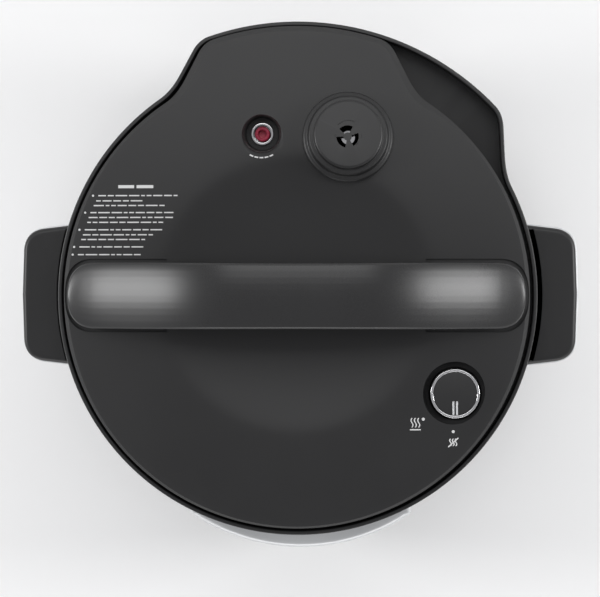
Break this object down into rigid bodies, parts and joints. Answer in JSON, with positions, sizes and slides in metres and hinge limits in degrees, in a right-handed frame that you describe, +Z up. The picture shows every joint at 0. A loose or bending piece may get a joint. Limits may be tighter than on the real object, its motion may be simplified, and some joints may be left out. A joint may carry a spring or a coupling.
{
  "type": "electric pressure cooker",
  "caption": "Round electric pressure cooker with a lobed twist-lock lid, bridge handle, steam cap, dial, side grips and a bowed control panel.",
  "frame": {"origin": "middle of the cooker's footprint, at the level of its feet", "axes": "+X to the cook's right through the side handles, -Y out of the control panel, +Z up the pot's axis"},
  "size_m": [0.34, 0.3214, 0.315],
  "materials": {
    "charcoal_plastic": "fine satin texture",
    "handle_plastic": "smooth satin",
    "black_plastic": "fine matt texture",
    "brushed_steel": "brushed",
    "chrome": "bright",
    "cast_aluminium": "satin",
    "silver_plastic": "metallic paint, satin",
    "silicone": "soft, translucent white",
    "red_silicone": "soft satin",
    "rubber": "matt",
    "circuit_board": "solder mask",
    "display_glass": "clear gloss"
  },
  "bodies": {
    "base": {"base_pan": "black_plastic", "foot_1": "rubber", "foot_2": "rubber", "foot_3": "rubber", "foot_4": "rubber", "base_screw_1": "brushed_steel", "base_screw_2": "brushed_steel", "base_screw_3": "brushed_steel", "housing_shell": "brushed_steel", "power_inlet": "black_plastic", "inlet_pins": "brushed_steel", "upper_collar": "charcoal_plastic", "outer_pot": "cast_aluminium", "side_handle_left": "charcoal_plastic", "side_handle_right": "charcoal_plastic", "handle_trim_left": "silver_plastic", "handle_trim_right": "silver_plastic", "panel_bezel": "silver_plastic", "panel_fascia": "black_plastic", "display_lens": "display_glass", "display_module": "display_glass", "control_board": "circuit_board", "heating_plate": "cast_aluminium", "heating_element": "brushed_steel", "sensor_bracket": "brushed_steel", "sensor_spring": "brushed_steel", "pressure_switch": "black_plastic", "power_board": "circuit_board", "lid_switch": "black_plastic", "cup_rails": "black_plastic"},
    "lid_slider": {"lid_slider": "black_plastic"},
    "inner_pot": {"inner_pot": "brushed_steel"},
    "lid": {"lid_cover": "charcoal_plastic", "lid_handle": "handle_plastic", "handle_screw_left": "brushed_steel", "handle_screw_right": "brushed_steel", "lid_plate": "brushed_steel", "lid_centre_screw": "brushed_steel", "sealing_ring": "silicone", "ring_rack": "brushed_steel", "vent_pipe": "brushed_steel", "pipe_nut": "brushed_steel", "bobber_guide": "brushed_steel"},
    "steam_cap": {"steam_cap": "charcoal_plastic"},
    "steam_weight": {"steam_weight": "brushed_steel"},
    "vent_shield": {"vent_shield": "brushed_steel"},
    "bobber": {"bobber_pin": "red_silicone", "bobber_gasket": "silicone"},
    "dial": {"dial_knob": "charcoal_plastic", "dial_ring": "chrome", "dial_shaft": "brushed_steel"},
    "link_bar": {"link_bar": "brushed_steel"},
    "sensor": {"sensor_cap": "cast_aluminium"},
    "drip_cup": {"drip_cup": "silicone"},
    "button_1": {"button_1": "silver_plastic"},
    "button_2": {"button_2": "silver_plastic"},
    "button_3": {"button_3": "silver_plastic"},
    "button_4": {"button_4": "silver_plastic"},
    "button_5": {"button_5": "silver_plastic"},
    "button_6": {"button_6": "silver_plastic"}
  },
  "joints": [
    {"name": "lid_twist", "type": "hinge", "parent": "base", "child": "lid_slider", "pos_m": [0, -0.0034, 0.23], "axis": [0, 0, -1], "range_deg": [0, 26]},
    {"name": "pot_lift", "type": "slide", "parent": "lid_slider", "child": "inner_pot", "axis": [0, 0, 1], "range_m": [0, 0.19]},
    {"name": "lid_lift", "type": "slide", "parent": "inner_pot", "child": "lid", "axis": [0, 0, 1], "range_m": [0, 0.15]},
    {"name": "dial_turn", "type": "hinge", "parent": "lid", "child": "dial", "pos_m": [0.0943, -0.0616, 0.265], "axis": [0, 0, -1], "range_deg": [0, 50]},
    {"name": "link_slide", "type": "slide", "parent": "lid", "child": "link_bar", "axis": [-0.3858, 0.9226, 0], "range_m": [0, 0.00676]},
    {"name": "weight_lift", "type": "slide", "parent": "lid", "child": "steam_weight", "axis": [0, 0, 1], "range_m": [0, 0.0031]},
    {"name": "bobber_rise", "type": "slide", "parent": "lid", "child": "bobber", "axis": [0, 0, 1], "range_m": [0, 0.0055]},
    {"name": "cap_pull", "type": "slide", "parent": "lid", "child": "steam_cap", "axis": [0, 0, 1], "range_m": [0, 0.03]},
    {"name": "shield_pull", "type": "slide", "parent": "lid", "child": "vent_shield", "axis": [0, 0, -1], "range_m": [0, 0.02]},
    {"name": "sensor_press", "type": "slide", "parent": "base", "child": "sensor", "axis": [0, 0, -1], "range_m": [0, 0.003], "stiffness_N_per_m": 300, "springref_m": -0.003, "deforming": ["sensor_spring"]},
    {"name": "cup_slide", "type": "slide", "parent": "base", "child": "drip_cup", "axis": [0, 1, 0], "range_m": [0, 0.03]},
    {"name": "button_1_press", "type": "slide", "parent": "base", "child": "button_1", "axis": [0.25, 0.9682, 0], "range_m": [0, 0.0008], "stiffness_N_per_m": 400, "springref_m": -0.0004},
    {"name": "button_2_press", "type": "slide", "parent": "base", "child": "button_2", "axis": [0, 1, 0], "range_m": [0, 0.0008], "stiffness_N_per_m": 400, "springref_m": -0.0004},
    {"name": "button_3_press", "type": "slide", "parent": "base", "child": "button_3", "axis": [-0.25, 0.9682, 0], "range_m": [0, 0.0008], "stiffness_N_per_m": 400, "springref_m": -0.0004},
    {"name": "button_4_press", "type": "slide", "parent": "base", "child": "button_4", "axis": [0.25, 0.9682, 0], "range_m": [0, 0.0008], "stiffness_N_per_m": 400, "springref_m": -0.0004},
    {"name": "button_5_press", "type": "slide", "parent": "base", "child": "button_5", "axis": [0, 1, 0], "range_m": [0, 0.0008], "stiffness_N_per_m": 400, "springref_m": -0.0004},
    {"name": "button_6_press", "type": "slide", "parent": "base", "child": "button_6", "axis": [-0.25, 0.9682, 0], "range_m": [0, 0.0008], "stiffness_N_per_m": 400, "springref_m": -0.0004}
  ],
  "couplings": [
    {"joint": "dial_turn", "follows": "link_slide", "rad_per_m": 129.06},
    {"joint": "weight_lift", "follows": "link_slide", "ratio": 0.44366}
  ]
}
